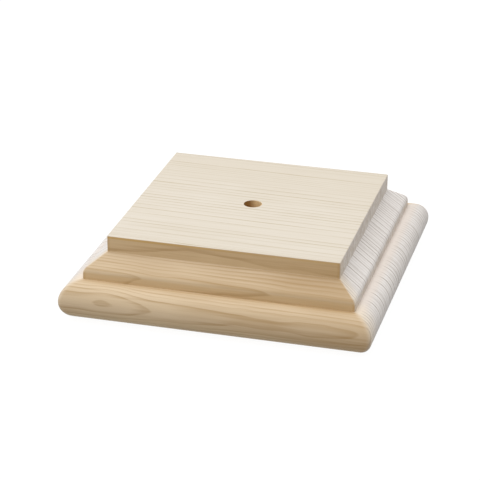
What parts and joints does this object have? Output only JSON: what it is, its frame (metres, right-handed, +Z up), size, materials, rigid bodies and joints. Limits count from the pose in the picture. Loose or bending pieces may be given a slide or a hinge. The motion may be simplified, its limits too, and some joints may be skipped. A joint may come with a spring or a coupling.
{
  "type": "wooden post cap",
  "caption": "Square pine post cap with a half-round edge, a narrow ledge, a sloped shoulder and a square top plate, bored through the middle for a finial's dowel or screw.",
  "frame": {"origin": "middle of the underside, on the axis of the hole", "axes": "+Z up along the axis of the hole, from the wide underside to the plate; X runs along the grain, so the end grain is on the +X and -X sides"},
  "size_m": [0.12, 0.12, 0.0304],
  "materials": {
    "pine": "planed and sanded, unfinished"
  },
  "bodies": {
    "root": {"post_cap": "pine"}
  },
  "joints": []
}
